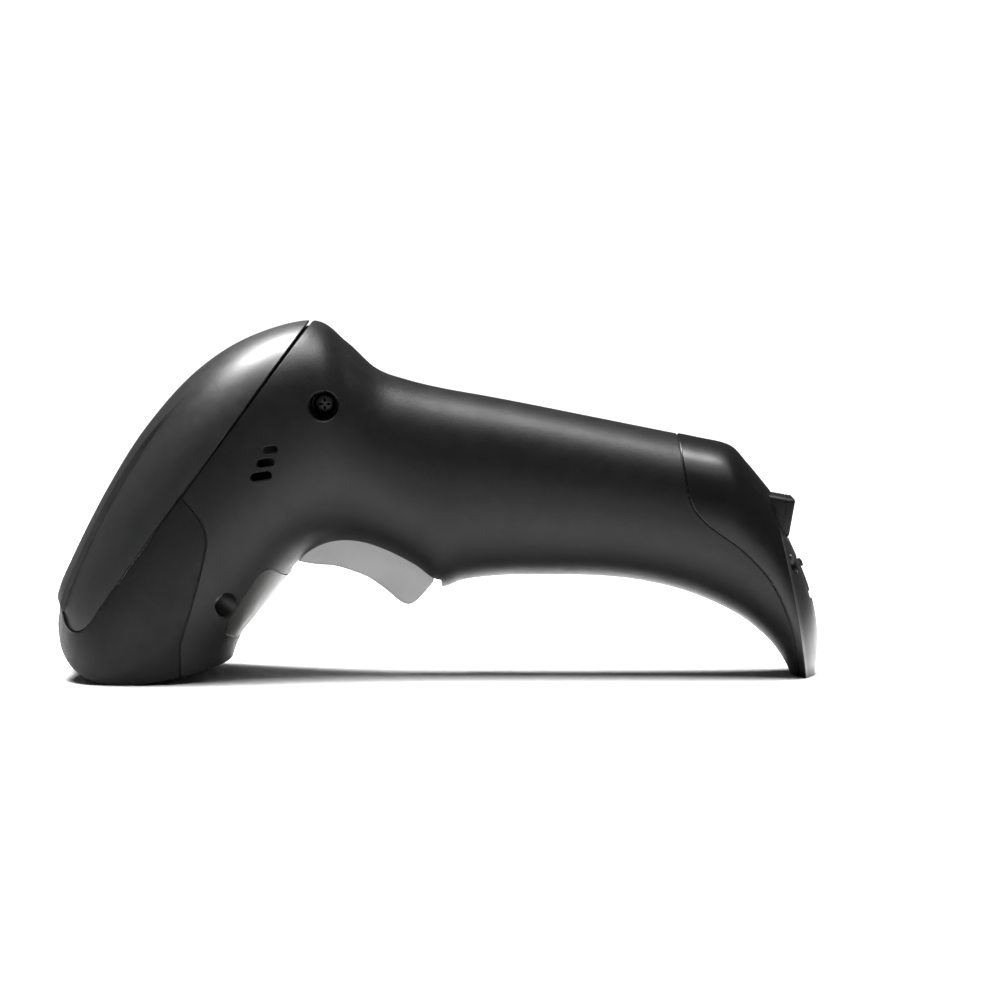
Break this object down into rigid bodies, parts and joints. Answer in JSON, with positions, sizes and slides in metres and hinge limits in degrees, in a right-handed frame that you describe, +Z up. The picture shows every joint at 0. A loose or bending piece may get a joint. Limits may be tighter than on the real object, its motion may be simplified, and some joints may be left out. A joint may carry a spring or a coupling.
{
  "type": "handheld barcode scanner",
  "caption": "Cordless pistol-grip barcode scanner with a sprung trigger, a flap over its charging socket and a radio receiver that stows in the end of its grip.",
  "frame": {"origin": "on the surface that the scanner stands on, below the centre of its bounding box", "axes": "+X from the window end to the grip's tip, +Y across the scanner, +Z up"},
  "size_m": [0.1683, 0.0662, 0.0784],
  "materials": {
    "shell_plastic": "fine-textured black",
    "cover_plastic": "satin dark grey",
    "bezel_plastic": "fine matt black",
    "cap_plastic": "semi-gloss black",
    "window_pane": "red-tinted filter pane",
    "soft_rubber": "matt",
    "bright_steel": "plated",
    "inner_plastic": "plain black",
    "optic_glass": "coated",
    "clear_plastic": "clear",
    "circuit_board": "solder mask",
    "flat_cable": "polyimide film",
    "cell_wrap": "shrink sleeve",
    "pale_plastic": "natural nylon",
    "wire_sleeve": "wire insulation",
    "trigger_plastic": "matt mid grey",
    "receiver_plastic": "fine matt black",
    "dark_screw": "black oxide",
    "label_film": "glossy film"
  },
  "bodies": {
    "housing": {"left_shell": "shell_plastic", "right_shell": "shell_plastic", "top_cover": "cover_plastic", "front_bezel": "bezel_plastic", "end_cap": "cap_plastic", "scan_window": "window_pane", "window_gasket": "soft_rubber", "engine_bracket": "bright_steel", "bracket_screws": "bright_steel", "engine_frame": "inner_plastic", "engine_lens": "optic_glass", "led_lenses": "clear_plastic", "aimer_lens": "clear_plastic", "engine_board": "circuit_board", "engine_ribbon": "flat_cable", "main_board": "circuit_board", "decoder_chip": "inner_plastic", "radio_module": "bright_steel", "board_parts": "inner_plastic", "board_screws": "bright_steel", "buzzer": "inner_plastic", "status_led": "clear_plastic", "light_pipe": "clear_plastic", "battery_cell": "cell_wrap", "battery_cradle": "inner_plastic", "battery_connector": "pale_plastic", "battery_leads": "wire_sleeve", "switch_bracket": "inner_plastic", "switch_board": "circuit_board", "trigger_switch": "inner_plastic", "switch_leads": "wire_sleeve", "trigger_pin": "bright_steel", "trigger_spring": "bright_steel", "charge_board": "circuit_board", "charge_port": "bright_steel", "charge_leads": "wire_sleeve", "flap_pin": "bright_steel", "shell_screws": "dark_screw", "cap_screws": "dark_screw", "rating_label": "label_film"},
    "trigger_lever": {"trigger": "trigger_plastic"},
    "plunger": {"switch_plunger": "pale_plastic"},
    "receiver": {"dongle_case": "receiver_plastic", "dongle_board": "circuit_board", "dongle_plug": "bright_steel", "dongle_tongue": "pale_plastic"},
    "flap": {"port_flap": "soft_rubber"}
  },
  "joints": [
    {"name": "trigger_pull", "type": "hinge", "parent": "housing", "child": "trigger_lever", "pos_m": [-0.028, 0, 0.031], "axis": [0, -1, 0], "range_deg": [0, 5], "stiffness_Nm_per_rad": 1.2, "springref_deg": -2.86, "deforming": ["trigger_spring"]},
    {"name": "switch_press", "type": "slide", "parent": "housing", "child": "plunger", "axis": [0, 0, 1], "range_m": [0, 0.0014]},
    {"name": "receiver_pull", "type": "slide", "parent": "housing", "child": "receiver", "axis": [0.9848, 0, -0.1736], "range_m": [0, 0.026]},
    {"name": "flap_open", "type": "hinge", "parent": "housing", "child": "flap", "pos_m": [0.08088, 0, 0.01813], "axis": [0, 1, 0], "range_deg": [0, 100]}
  ],
  "couplings": [
    {"joint": "switch_press", "follows": "trigger_pull", "m_per_rad": 0.016}
  ]
}
